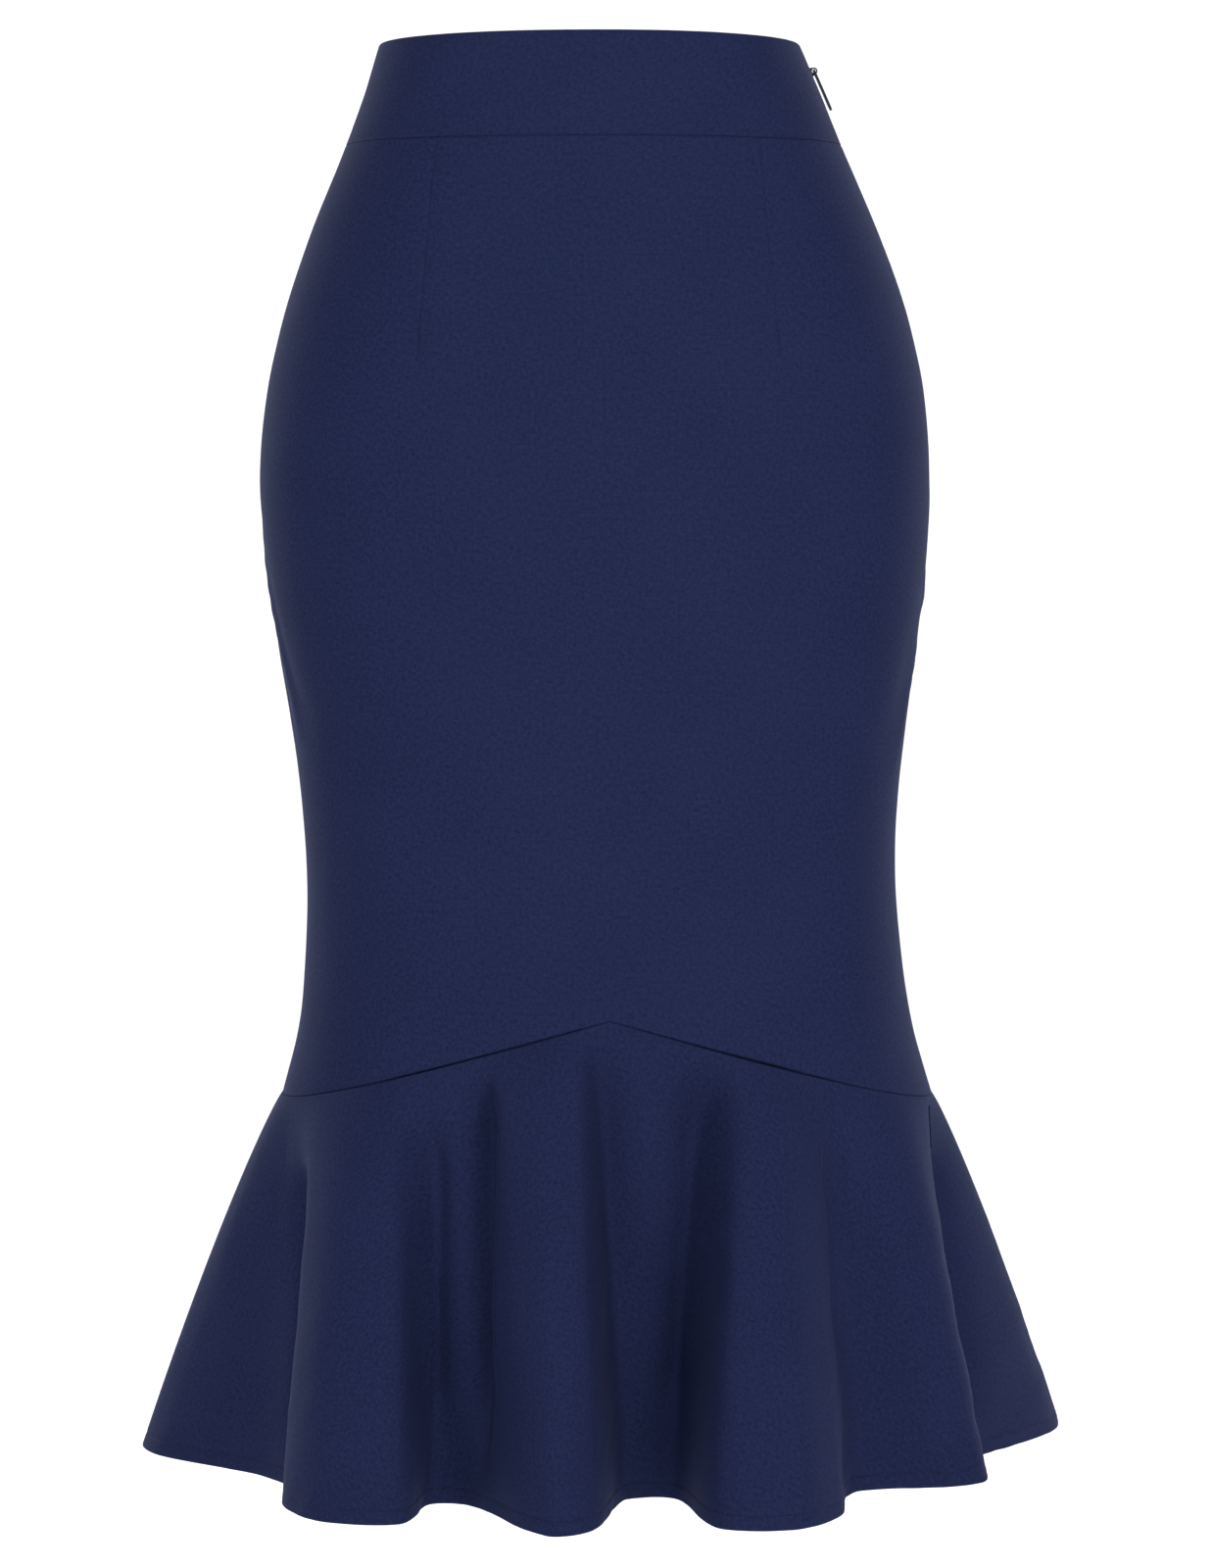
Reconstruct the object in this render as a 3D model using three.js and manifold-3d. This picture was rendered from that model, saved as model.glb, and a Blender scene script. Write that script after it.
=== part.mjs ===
// A high-waisted pencil skirt with a fishtail flounce, held open as if it were worn.
// Millimetres. The origin is the middle of the waist opening, level with the waistband's top edge at the sides.
// +Z is up, the front faces -Y, and +X is the wearer's left. Directions round the skirt are in degrees,
// 0 at the middle of the front, 90 at +X and 180 at the middle of the back.
import * as THREE from 'three';
import { mergeVertices } from 'three/addons/utils/BufferGeometryUtils.js';
import Module from 'manifold-3d';

const wasm = await Module();
wasm.setup();

// Driving sizes
const LENGTH = 724.5;
const BAND_HEIGHT = 50.5;
const WAIST_RISE = 1.5;
const SIDE_SEAM_DROP = 538;
const APEX_DROP = 490;
const APEX_ASIDE = 5;
const SQUARENESS = 2.3;
const CLOTH = 1.5;
const BAND_CLOTH = 2.2;
const SEAM_GAP = 0.45;

// The grooves of the darts
const DART_DEPTH = 0.7;
const DART_HALF_WIDTH = 1.8;
const DART_FADE = 35;

// The flounce: the smooth oval that its hem would have without folds, and how the folds grow down to it
const HEM_OVAL = { left: 208, right: 232, front: 176, back: 180 };
const HEM_SQUARENESS = 2.1;
const FLARE_BULGE = 0.12;
const FOLD_ONSET = 0.77;
const FLANK_HALF = 3.6;
const HOLLOW_ROUNDING = 0.4;

// The zip in the side seam at +X
const ZIP_PARTING = 1.9;
const TAPE = { width: 14, thickness: 1.2, gap: 0.9, below: 2.2, columns: 2 };
const SLIDER = {
  drop: 8, height: 9, width: 7, thickness: 3, neck: 1.2, neckHeight: 5, eye: 1.9, nose: 1.8, hole: 1.1,
};
const PULL = { length: 22, width: 6.4, top: 4.8, thickness: 1.2, bar: 1.2, window: 2.8, windowHeight: 3.6 };

// Mesh fineness, as steps along each piece
const BAND_ROWS = 3;
const BAND_COLUMNS = 26;
const BODY_ROWS = 20;
const ZIP_ROWS = 6;
const PANEL_STEPS = [1, 6, 1, 1, 6, 6, 1, 1, 6, 1];
const DART_COLUMNS = [8, 22];
const FLOUNCE_ROWS = 9;
const STEPS_PER_KNOT = 3;
const KNOTS_PER_FOLD = 6;

// Half widths and half depths of the cloth's outer face at each height
const SECTIONS = table(['height', 'left', 'right', 'front', 'back'], [
  [-SIDE_SEAM_DROP, 164.6, 172.2, 118, 113],
  [-505, 156.3, 162.3, 111, 107],
  [-464, 152.1, 156.1, 106.5, 103.5],
  [-424, 151.5, 152.9, 105, 104],
  [-383, 154.4, 154.3, 106, 108],
  [-342, 159.8, 158.7, 108, 114],
  [-301, 166.7, 164.1, 110, 122],
  [-260, 172.1, 168.5, 111, 129],
  [-219, 175, 169.8, 111, 132],
  [-178, 171.2, 167.1, 109.5, 129],
  [-138, 162.5, 158.4, 107, 121],
  [-97, 148.7, 144.1, 103, 110],
  [-BAND_HEIGHT, 130.2, 124, 96, 99],
  [-25, 120.8, 113.7, 91, 93],
  [0, 113.2, 102.8, 87, 89],
  [10, 109.5, 98.5, 85, 87],
]);

// Each dart's distance from the middle at the waist seam and at its tip, in the order of the panel's columns
const DARTS = table(['panel', 'x_top', 'x_tip', 'tip_drop'], [
  ['front', -82, -91, 161],
  ['front', 80, 90, 161],
  ['back', 76, 70, 185],
  ['back', -76, -70, 185],
]);

// The flounce's folds, anticlockwise seen from above. A crest stands out and a hollow follows it. Each has its
// direction at the hem, its reach from the middle there, and half of its round width. At the seam a fold is given
// by the directions in which its crest rises from the hollow before it and falls to the hollow after it.
const FOLDS = table(
  ['name', 'rise_seam', 'fall_seam', 'crest', 'reach', 'half', 'shoulder', 'hollow', 'hollow_reach', 'hollow_half'],
  [
    ['left_side', -100.8, -79.2, -92, 239.5, 7, 9, -61, 185, 7],
    ['front_left', -66.9, -45.3, -36.8, 229, 10, 14, -25.5, 160, 4.2],
    ['front_middle', -26.5, -3, -5.5, 221, 4.5, 13, 10.5, 131, 5],
    ['front_right', 31.5, 48.9, 25, 225, 8.7, 14, 48, 173, 4.5],
    ['right_front', 60, 78.5, 65.5, 214, 5, 8, 77.3, 190, 3],
    ['right_side', 85.5, 94.5, 110, 258.5, 9, 12, 127, 186, 5],
    ['back_right', 116, 134, 146, 226, 7, 12, 160, 158, 5],
    ['back_middle', 154, 175.5, 176, 232, 7, 12, 192, 160, 5],
    ['back_left', 195.5, 212.5, 208, 224, 7, 12, 224, 165, 5],
    ['left_back', 229, 246, 240, 238, 7, 12, 254.5, 190, 4],
  ],
);

// The zip ends at a row of the panels below the waist seam
const ZIP_LENGTH = BAND_HEIGHT + (SIDE_SEAM_DROP - BAND_HEIGHT) * ZIP_ROWS / BODY_ROWS;

const NAVY = 0x242a49;
const ZIP_NAVY = 0x1b2038;

function table(columns, rows) {
  return rows.map((row) => Object.fromEntries(columns.map((column, i) => [column, row[i]])));
}

const radians = THREE.MathUtils.degToRad;
const { lerp, clamp } = THREE.MathUtils;

function clothMaterial() {
  return new THREE.MeshStandardMaterial({ color: NAVY, roughness: 0.85, metalness: 0 });
}

function zipMaterial() {
  return new THREE.MeshStandardMaterial({ color: ZIP_NAVY, roughness: 0.45, metalness: 0.3 });
}

function namedMesh(name, geometry, material) {
  const mesh = new THREE.Mesh(geometry, material);
  mesh.name = name;
  return mesh;
}

// The half sizes at a height, on a smooth curve through the table's rows
const SIDES = ['left', 'right', 'front', 'back'];
const sectionCurve = new THREE.CubicInterpolant(
  SECTIONS.map((row) => row.height),
  SECTIONS.flatMap((row) => SIDES.map((side) => row[side])),
  SIDES.length,
);

function sizesAt(z) {
  const values = sectionCurve.evaluate(z);
  return Object.fromEntries(SIDES.map((side, i) => [side, values[i]]));
}

// A point of a rounded oval that has its own half size on each of the four sides
function ovalPoint(degrees, sizes, squareness, z) {
  const across = Math.sin(radians(degrees));
  const forward = Math.cos(radians(degrees));
  const halfWidth = across < 0 ? sizes.left : sizes.right;
  const halfDepth = forward > 0 ? sizes.front : sizes.back;
  const sum = Math.abs(across / halfWidth) ** squareness + Math.abs(forward / halfDepth) ** squareness;
  const radius = sum ** (-1 / squareness);
  return new THREE.Vector3(radius * across, -radius * forward, z);
}

function bodyPoint(degrees, z) {
  return ovalPoint(degrees, sizesAt(z), SQUARENESS, z);
}

// The direction in which the front (facing 1) or the back (facing -1) has this x
function directionOf(x, facing, z) {
  const sizes = sizesAt(z);
  const halfWidth = x < 0 ? sizes.left : sizes.right;
  const halfDepth = facing > 0 ? sizes.front : sizes.back;
  const depth = halfDepth * (1 - Math.abs(x / halfWidth) ** SQUARENESS) ** (1 / SQUARENESS);
  const degrees = THREE.MathUtils.radToDeg(Math.atan2(x, facing * depth));
  return facing < 0 && degrees < 0 ? degrees + 360 : degrees;
}

const APEX_DIRECTION = directionOf(APEX_ASIDE, 1, -APEX_DROP);

// The height of the seam that carries the flounce: a chevron in front, level behind
function seamHeight(degrees) {
  if (Math.cos(radians(degrees)) < 0) {
    return -SIDE_SEAM_DROP;
  }
  const leftOfApex = Math.sin(radians(degrees)) < Math.sin(radians(APEX_DIRECTION));
  const side = bodyPoint(leftOfApex ? -90 : 90, -SIDE_SEAM_DROP).x;
  let share = 1;
  for (let pass = 0; pass < 6; pass += 1) {
    const { x } = bodyPoint(degrees, -lerp(APEX_DROP, SIDE_SEAM_DROP, share));
    share = clamp((x - APEX_ASIDE) / (side - APEX_ASIDE), 0, 1);
  }
  return -lerp(APEX_DROP, SIDE_SEAM_DROP, share);
}

// The stations with even steps from each to the next
function spread(stations, steps) {
  return steps.reduce((values, count, i) => {
    for (let k = 1; k <= count; k += 1) {
      values.push(lerp(stations[i], stations[i + 1], k / count));
    }
    return values;
  }, [stations[0]]);
}

// The outward normal of the cloth at a grid point that has a neighbour on both sides
function gridNormal(grid, r, c) {
  const above = grid[Math.max(0, r - 1)][c];
  const below = grid[Math.min(grid.length - 1, r + 1)][c];
  const down = below.clone().sub(above);
  const along = grid[r][c + 1].clone().sub(grid[r][c - 1]);
  return down.cross(along).normalize();
}

// A border point drawn back towards its inner neighbour, half of the gap that the seam there has
function drawnBack(grid, r, c, sideGap) {
  const point = grid[r][c].clone();
  const lastColumn = grid[0].length - 1;
  const lastRow = grid.length - 1;
  if (c === 0 || c === lastColumn) {
    const neighbour = grid[r][c === 0 ? 1 : lastColumn - 1];
    const gap = sideGap(c === 0 ? 'first' : 'last', point.z);
    point.addScaledVector(neighbour.clone().sub(grid[r][c]).normalize(), gap / 2);
  }
  if (r === 0 || r === lastRow) {
    const neighbour = grid[r === 0 ? 1 : lastRow - 1][c];
    point.addScaledVector(neighbour.clone().sub(grid[r][c]).normalize(), SEAM_GAP / 2);
  }
  return point;
}

// The step from the outer face to the inner one. It is level along the top and bottom edges, where seams are.
function stepInside(grid, r, c, thickness) {
  const normal = gridNormal(grid, r, c);
  if (r === 0 || r === grid.length - 1) {
    normal.z = 0;
    normal.divideScalar(normal.lengthSq());
  }
  return normal.multiplyScalar(-thickness);
}

// A closed wall of cloth. The grid holds points of its outer face, rows from the top and columns anticlockwise.
// Its first and last columns lie past the wall's edges, and only give the direction of the cloth there.
function clothWall(grid, thickness, sideGap = () => SEAM_GAP) {
  const wall = grid.map((row) => row.slice(1, -1));
  const outer = wall.map((row, r) => row.map((point, c) => drawnBack(wall, r, c, sideGap)));
  const inner = outer.map((row, r) => row.map((point, c) => (
    point.clone().add(stepInside(grid, r, c + 1, thickness))
  )));
  return shellGeometry(outer.flat(), inner.flat(), wall.length, wall[0].length);
}

function shellGeometry(outer, inner, rowCount, columnCount) {
  const inside = outer.length;
  const faces = [];
  for (let r = 0; r + 1 < rowCount; r += 1) {
    for (let c = 0; c + 1 < columnCount; c += 1) {
      const a = r * columnCount + c;
      const b = a + 1;
      const d = a + columnCount;
      const e = d + 1;
      faces.push(a, d, b, b, d, e);
      faces.push(inside + a, inside + b, inside + d, inside + b, inside + e, inside + d);
    }
  }
  const border = borderLoop(rowCount, columnCount);
  border.forEach((p, i) => {
    const q = border[(i + 1) % border.length];
    faces.push(p, q, inside + p, q, inside + q, inside + p);
  });
  const geometry = new THREE.BufferGeometry();
  geometry.setAttribute('position', new THREE.Float32BufferAttribute(
    [...outer, ...inner].flatMap((point) => point.toArray()),
    3,
  ));
  geometry.setIndex(faces);
  geometry.computeVertexNormals();
  return geometry;
}

// The grid's indices once round its border, from the top left along the top row
function borderLoop(rowCount, columnCount) {
  const lastRow = (rowCount - 1) * columnCount;
  const columns = [...Array(columnCount - 1).keys()];
  const rows = [...Array(rowCount - 1).keys()];
  return [
    ...columns,
    ...rows.map((r) => r * columnCount + columnCount - 1),
    ...columns.map((c) => lastRow + columnCount - 1 - c),
    ...rows.map((r) => lastRow - r * columnCount),
  ];
}

// The two edges over the zip stand further apart, down to the zip's lower end
function zipGap(zipEdge) {
  return (edge, z) => (edge === zipEdge && z > -ZIP_LENGTH ? ZIP_PARTING : SEAM_GAP);
}

// Half of the waistband, from one side seam to the other
function waistbandPiece(name, from, zipEdge) {
  const step = 180 / BAND_COLUMNS;
  const directions = spread([from - step, from + 180 + step], [BAND_COLUMNS + 2]);
  const grid = spread([0, 1], [BAND_ROWS]).map((share) => directions.map((degrees) => {
    const top = WAIST_RISE * Math.max(0, Math.cos(radians(degrees)));
    return bodyPoint(degrees, lerp(top, -BAND_HEIGHT, share));
  }));
  return namedMesh(name, clothWall(grid, BAND_CLOTH, zipGap(zipEdge)), clothMaterial());
}

// How far a dart's line lies from the middle at a height
function dartX(dart, z) {
  const share = clamp((-z - BAND_HEIGHT) / (dart.tip_drop - BAND_HEIGHT), 0, 1);
  return lerp(dart.x_top, dart.x_tip, share);
}

// The directions of a panel's columns at a height: even between its darts, with three columns at each dart
function panelDirections(panel, z) {
  const facing = panel === 'front' ? 1 : -1;
  const from = panel === 'front' ? -90 : 90;
  const middle = panel === 'front' ? APEX_DIRECTION : 180;
  const [first, second] = DARTS.filter((dart) => dart.panel === panel).map((dart) => {
    const offsets = [-DART_HALF_WIDTH, 0, DART_HALF_WIDTH];
    return offsets.map((offset) => directionOf(dartX(dart, z) + facing * offset, facing, z));
  });
  const margin = 4;
  const stations = [from - margin, from, ...first, middle, ...second, from + 180, from + 180 + margin];
  return spread(stations, PANEL_STEPS);
}

// The front or back of the skirt, from the waist seam to the flounce
function bodyPanel(name, panel, zipEdge) {
  const bottoms = panelDirections(panel, -SIDE_SEAM_DROP).map(seamHeight);
  const darts = DARTS.filter((dart) => dart.panel === panel);
  const grid = spread([0, 1], [BODY_ROWS]).map((share) => bottoms.map((bottom, column) => {
    const z = lerp(-BAND_HEIGHT, bottom, share);
    const point = bodyPoint(panelDirections(panel, z)[column], z);
    const dart = darts[DART_COLUMNS.indexOf(column)];
    if (dart) {
      const depth = DART_DEPTH * clamp((z + dart.tip_drop) / DART_FADE, 0, 1);
      point.addScaledVector(new THREE.Vector3(point.x, point.y, 0).normalize(), -depth);
    }
    return point;
  }));
  return namedMesh(name, clothWall(grid, CLOTH, zipGap(zipEdge)), clothMaterial());
}

// Six knots for each fold: the crest between its shoulders, then the hollow between its shoulders.
// Each knot has its direction and reach at the hem, and its direction at the seam.
function foldKnots() {
  return FOLDS.flatMap((fold, i) => {
    const nextRise = i + 1 < FOLDS.length ? FOLDS[i + 1].rise_seam : FOLDS[0].rise_seam + 360;
    const crestReach = fold.reach - fold.shoulder;
    const hollowReach = fold.hollow_reach + fold.shoulder * HOLLOW_ROUNDING;
    return [
      [fold.crest - fold.half, crestReach, fold.rise_seam + FLANK_HALF],
      [fold.crest, fold.reach, lerp(fold.rise_seam, fold.fall_seam, 0.5)],
      [fold.crest + fold.half, crestReach, fold.fall_seam - FLANK_HALF],
      [fold.hollow - fold.hollow_half, hollowReach, fold.fall_seam + FLANK_HALF],
      [fold.hollow, fold.hollow_reach, lerp(fold.fall_seam, nextRise, 0.5)],
      [fold.hollow + fold.hollow_half, hollowReach, nextRise - FLANK_HALF],
    ].map(([direction, reach, seamDirection]) => ({ direction, reach, seamDirection }));
  });
}

function hemCurve(knots) {
  const points = knots.map(({ direction, reach }) => (
    new THREE.Vector3(reach * Math.sin(radians(direction)), -reach * Math.cos(radians(direction)), 0)
  ));
  return new THREE.CatmullRomCurve3(points, true, 'centripetal');
}

// The seam direction along the knots, on a smooth curve that runs on past both ends
function seamDirections(knots) {
  const count = knots.length;
  const places = [...Array(2 * count + 1).keys()].map((k) => k - count / 2);
  const values = places.map((k) => knots[(k + count) % count].seamDirection + 360 * Math.floor(k / count));
  const curve = new THREE.CubicInterpolant(places, values, 1);
  return (place) => curve.evaluate(place)[0];
}

// One point of the flounce. It hangs between the body's edge and the hem curve, and its folds grow downwards.
function flouncePoint(top, hem, share) {
  const direction = THREE.MathUtils.radToDeg(Math.atan2(hem.x, -hem.y));
  const smooth = ovalPoint(direction, HEM_OVAL, HEM_SQUARENESS, 0);
  const flare = share * (1 + FLARE_BULGE * (1 - share));
  const fold = share ** FOLD_ONSET;
  return new THREE.Vector3(
    top.x + (smooth.x - top.x) * flare + (hem.x - smooth.x) * fold,
    top.y + (smooth.y - top.y) * flare + (hem.y - smooth.y) * fold,
    lerp(top.z, -LENGTH, share),
  );
}

// A piece of the flounce from one knot to another
function flouncePiece(name, firstKnot, lastKnot) {
  const knots = foldKnots();
  const hem = hemCurve(knots);
  const directionAt = seamDirections(knots);
  const step = 1 / STEPS_PER_KNOT;
  const places = spread([firstKnot - step, lastKnot + step], [(lastKnot - firstKnot) * STEPS_PER_KNOT + 2]);
  const directions = places.map(directionAt);
  const pastApex = directions.findIndex((direction) => direction > APEX_DIRECTION);
  if (pastApex > 0) {
    directions[pastApex] = APEX_DIRECTION;
  }
  const grid = spread([0, 1], [FLOUNCE_ROWS]).map((share) => places.map((place, i) => {
    const top = bodyPoint(directions[i], seamHeight(directions[i]));
    return flouncePoint(top, hem.getPoint((place / knots.length) % 1), share);
  }));
  return namedMesh(name, clothWall(grid, CLOTH), clothMaterial());
}

// The zip's place at its slider: a point of the cloth's outer face, and how far the cloth leans out downwards
function sliderPlace() {
  const middle = bodyPoint(90, -SLIDER.drop - SLIDER.height / 2);
  const above = bodyPoint(90, middle.z + 1);
  return { middle, lean: Math.atan2(middle.x - above.x, 1) };
}

// The zip's tape and coil behind the parted edges, as one strip along the inside of the seam
function zipTape() {
  const top = -SLIDER.drop - SLIDER.height - TAPE.below;
  const heights = spread([top, -BAND_HEIGHT, -ZIP_LENGTH], [BAND_ROWS - 1, ZIP_ROWS]);
  const grid = heights.map((z) => spread([-1, 1], [TAPE.columns + 2]).map((share) => {
    const cloth = z < -BAND_HEIGHT ? CLOTH : BAND_CLOTH;
    const turn = Math.atan2(TAPE.width * share, bodyPoint(90, z).x);
    const point = bodyPoint(90 + THREE.MathUtils.radToDeg(turn), z);
    point.x -= cloth + TAPE.gap;
    return point;
  }));
  return namedMesh('zip_tape', clothWall(grid, TAPE.thickness), zipMaterial());
}

function solidFrom(geometry) {
  geometry.deleteAttribute('normal');
  geometry.deleteAttribute('uv');
  const merged = mergeVertices(geometry);
  return new wasm.Manifold(new wasm.Mesh({
    numProp: 3,
    vertProperties: new Float32Array(merged.attributes.position.array),
    triVerts: new Uint32Array(merged.index.array),
  }));
}

function geometryFrom(solid) {
  const { vertProperties, triVerts } = solid.getMesh();
  const geometry = new THREE.BufferGeometry();
  geometry.setAttribute('position', new THREE.Float32BufferAttribute(vertProperties, 3));
  geometry.setIndex([...triVerts]);
  geometry.computeVertexNormals();
  return geometry;
}

// The slider's bridge: a thin plate through the parted edges, round outside with an eye for the pull
function sliderBridge() {
  const back = -BAND_CLOTH - 2 * SEAM_GAP - SLIDER.thickness / 2;
  const half = SLIDER.neckHeight / 2;
  const plate = new THREE.Shape();
  plate.moveTo(back, -half);
  plate.lineTo(0, -half);
  plate.absarc(SLIDER.eye, 0, SLIDER.nose, -Math.PI / 3, Math.PI / 3);
  plate.lineTo(0, half);
  plate.lineTo(back, half);
  plate.closePath();
  plate.holes.push(new THREE.Path().absarc(SLIDER.eye, 0, SLIDER.hole, 0, 2 * Math.PI, true));
  const geometry = new THREE.ExtrudeGeometry(plate, {
    depth: SLIDER.neck,
    bevelEnabled: false,
    curveSegments: 10,
  });
  geometry.translate(0, 0, -SLIDER.neck / 2);
  geometry.rotateX(Math.PI / 2);
  return geometry;
}

// The slider: a body inside the skirt and a bridge outside, in one piece. Its own +X points out of the cloth.
function zipSlider() {
  const body = new THREE.BoxGeometry(SLIDER.thickness, SLIDER.width, SLIDER.height);
  body.translate(-BAND_CLOTH - 2 * SEAM_GAP - SLIDER.thickness / 2, 0, 0);
  const solid = solidFrom(body).add(solidFrom(sliderBridge()));
  return namedMesh('zip_slider', geometryFrom(solid), zipMaterial());
}

// The pull: a flat drop with a window at its top, whose upper bar runs through the slider's eye
function zipPull() {
  const top = PULL.bar / 2;
  const windowTop = -PULL.bar / 2;
  const outline = new THREE.Shape();
  outline.moveTo(-PULL.top / 2, top);
  outline.lineTo(-PULL.width / 2, -PULL.length + PULL.width / 2);
  outline.absarc(0, -PULL.length + PULL.width / 2, PULL.width / 2, Math.PI, 2 * Math.PI);
  outline.lineTo(PULL.top / 2, top);
  outline.closePath();
  const window = new THREE.Path();
  window.moveTo(-PULL.window / 2, windowTop);
  window.lineTo(PULL.window / 2, windowTop);
  window.lineTo(PULL.window / 2, windowTop - PULL.windowHeight);
  window.lineTo(-PULL.window / 2, windowTop - PULL.windowHeight);
  window.closePath();
  outline.holes.push(window);
  const geometry = new THREE.ExtrudeGeometry(outline, {
    depth: PULL.thickness,
    bevelEnabled: false,
    curveSegments: 8,
  });
  geometry.translate(0, 0, -PULL.thickness / 2);
  geometry.applyMatrix4(new THREE.Matrix4().makeBasis(
    new THREE.Vector3(0, 1, 0),
    new THREE.Vector3(0, 0, 1),
    new THREE.Vector3(1, 0, 0),
  ));
  geometry.translate(SLIDER.eye, 0, 0);
  return namedMesh('zip_pull', geometry, zipMaterial());
}

// The slider and its pull, set on the cloth at the side seam
function zipHardware() {
  const { middle, lean } = sliderPlace();
  const group = new THREE.Group();
  group.position.copy(middle);
  group.rotation.y = -lean;
  group.add(zipSlider(), zipPull());
  return group;
}

const LEFT_SIDE_KNOT = 1;
const RIGHT_SIDE_KNOT = KNOTS_PER_FOLD * FOLDS.findIndex((fold) => fold.name === 'right_side') + 1;

const skirt = new THREE.Group();
skirt.add(
  waistbandPiece('waistband_front', -90, 'last'),
  waistbandPiece('waistband_back', 90, 'first'),
  bodyPanel('skirt_front', 'front', 'last'),
  bodyPanel('skirt_back', 'back', 'first'),
  flouncePiece('flounce_front', LEFT_SIDE_KNOT, RIGHT_SIDE_KNOT),
  flouncePiece('flounce_back', RIGHT_SIDE_KNOT, LEFT_SIDE_KNOT + KNOTS_PER_FOLD * FOLDS.length),
  zipTape(),
  zipHardware(),
);

export default skirt;
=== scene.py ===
# A navy high-waisted pencil skirt with a fishtail flounce, held open as if it were worn.
import math

import bpy
import numpy as np
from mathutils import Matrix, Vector


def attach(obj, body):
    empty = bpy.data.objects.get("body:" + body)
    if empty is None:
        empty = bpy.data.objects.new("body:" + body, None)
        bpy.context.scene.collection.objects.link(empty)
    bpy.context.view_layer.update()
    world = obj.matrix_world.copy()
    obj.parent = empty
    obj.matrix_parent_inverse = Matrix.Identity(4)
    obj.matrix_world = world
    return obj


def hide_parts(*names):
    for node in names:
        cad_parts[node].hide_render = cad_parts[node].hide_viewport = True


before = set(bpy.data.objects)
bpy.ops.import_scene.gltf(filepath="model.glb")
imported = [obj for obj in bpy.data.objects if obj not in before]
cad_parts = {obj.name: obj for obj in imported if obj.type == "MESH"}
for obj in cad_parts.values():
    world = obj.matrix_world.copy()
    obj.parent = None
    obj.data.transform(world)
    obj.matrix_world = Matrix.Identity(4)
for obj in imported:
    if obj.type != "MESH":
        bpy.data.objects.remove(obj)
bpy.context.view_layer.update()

# Sizes are in millimetres until a mesh is made. Directions round the skirt are in degrees, 0 at the middle of
# the front (-Y), 90 at +X, where the zip is, and 180 at the middle of the back.
MM = 0.001

# The form, as in the CAD source
LENGTH = 724.5
BAND_HEIGHT = 50.5
WAIST_RISE = 1.5
SIDE_SEAM_DROP = 538
APEX_DROP = 490
APEX_ASIDE = 5
SQUARENESS = 2.3
HEM_OVAL = {"left": 208, "right": 232, "front": 176, "back": 180}
HEM_SQUARENESS = 2.1
FLARE_BULGE = 0.12
FOLD_ONSET = 0.77
FLANK_HALF = 3.6
HOLLOW_ROUNDING = 0.4
ZIP_LENGTH = BAND_HEIGHT + (SIDE_SEAM_DROP - BAND_HEIGHT) * 6 / 20
TAPE = {"width": 14, "thickness": 1.2, "inside": 2.4, "top": 19.4}
SIDES = ("left", "right", "front", "back")

# The cloth
CLOTH = 1.1
BAND_CLOTH = 2.0
HEM_TURN = 10
HEM_THICKNESS = 0.8
HEM_STITCH = 6.5
ROLL_WIDTH = 0.9
ROLL_DEPTH = 0.48
WAIST_ROLL = 2.0
CHEVRON_ROLL = 1.75
DART_DEPTH = 0.85
HALF_GAP = 0.03
HALF_PARTING = 0.95
SEAM_ALLOWANCE = 10
BAND_ALLOWANCE = 8
SEAM_STITCH = 0.75
SEAM_PITCH = 2.1
STITCH = {"pitch": 2.4, "length": 1.8, "thread": 0.4}
STITCH_SINK = 0.1
DART_LINE = 1.1
TAPE_CLOTH = 0.6

# Cloth to a degree round the hips, and the waistband's mean radius at its ends
MM_PER_DEGREE = 2.7
WAIST_RADIUS = 118


def table(columns, rows):
    return [dict(zip(columns, row)) for row in rows]


SECTIONS = table(("height", *SIDES), [
    (-SIDE_SEAM_DROP, 164.6, 172.2, 118, 113),
    (-505, 156.3, 162.3, 111, 107),
    (-464, 152.1, 156.1, 106.5, 103.5),
    (-424, 151.5, 152.9, 105, 104),
    (-383, 154.4, 154.3, 106, 108),
    (-342, 159.8, 158.7, 108, 114),
    (-301, 166.7, 164.1, 110, 122),
    (-260, 172.1, 168.5, 111, 129),
    (-219, 175, 169.8, 111, 132),
    (-178, 171.2, 167.1, 109.5, 129),
    (-138, 162.5, 158.4, 107, 121),
    (-97, 148.7, 144.1, 103, 110),
    (-BAND_HEIGHT, 130.2, 124, 96, 99),
    (-25, 120.8, 113.7, 91, 93),
    (0, 113.2, 102.8, 87, 89),
    (10, 109.5, 98.5, 85, 87),
])

DARTS = table(("panel", "x_top", "x_tip", "tip_drop"), [
    ("front", -82, -91, 161),
    ("front", 80, 90, 161),
    ("back", 76, 70, 185),
    ("back", -76, -70, 185),
])

FOLDS = table(
    ("name", "rise_seam", "fall_seam", "crest", "reach", "half", "shoulder",
     "hollow", "hollow_reach", "hollow_half"),
    [
        ("left_side", -100.8, -79.2, -92, 239.5, 7, 9, -61, 185, 7),
        ("front_left", -66.9, -45.3, -36.8, 229, 10, 14, -25.5, 160, 4.2),
        ("front_middle", -26.5, -3, -5.5, 221, 4.5, 13, 10.5, 131, 5),
        ("front_right", 31.5, 48.9, 25, 225, 8.7, 14, 48, 173, 4.5),
        ("right_front", 60, 78.5, 65.5, 214, 5, 8, 77.3, 190, 3),
        ("right_side", 85.5, 94.5, 110, 258.5, 9, 12, 127, 186, 5),
        ("back_right", 116, 134, 146, 226, 7, 12, 160, 158, 5),
        ("back_middle", 154, 175.5, 176, 232, 7, 12, 192, 160, 5),
        ("back_left", 195.5, 212.5, 208, 224, 7, 12, 224, 165, 5),
        ("left_back", 229, 246, 240, 238, 7, 12, 254.5, 190, 4),
    ],
)
KNOTS_PER_FOLD = 6

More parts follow.
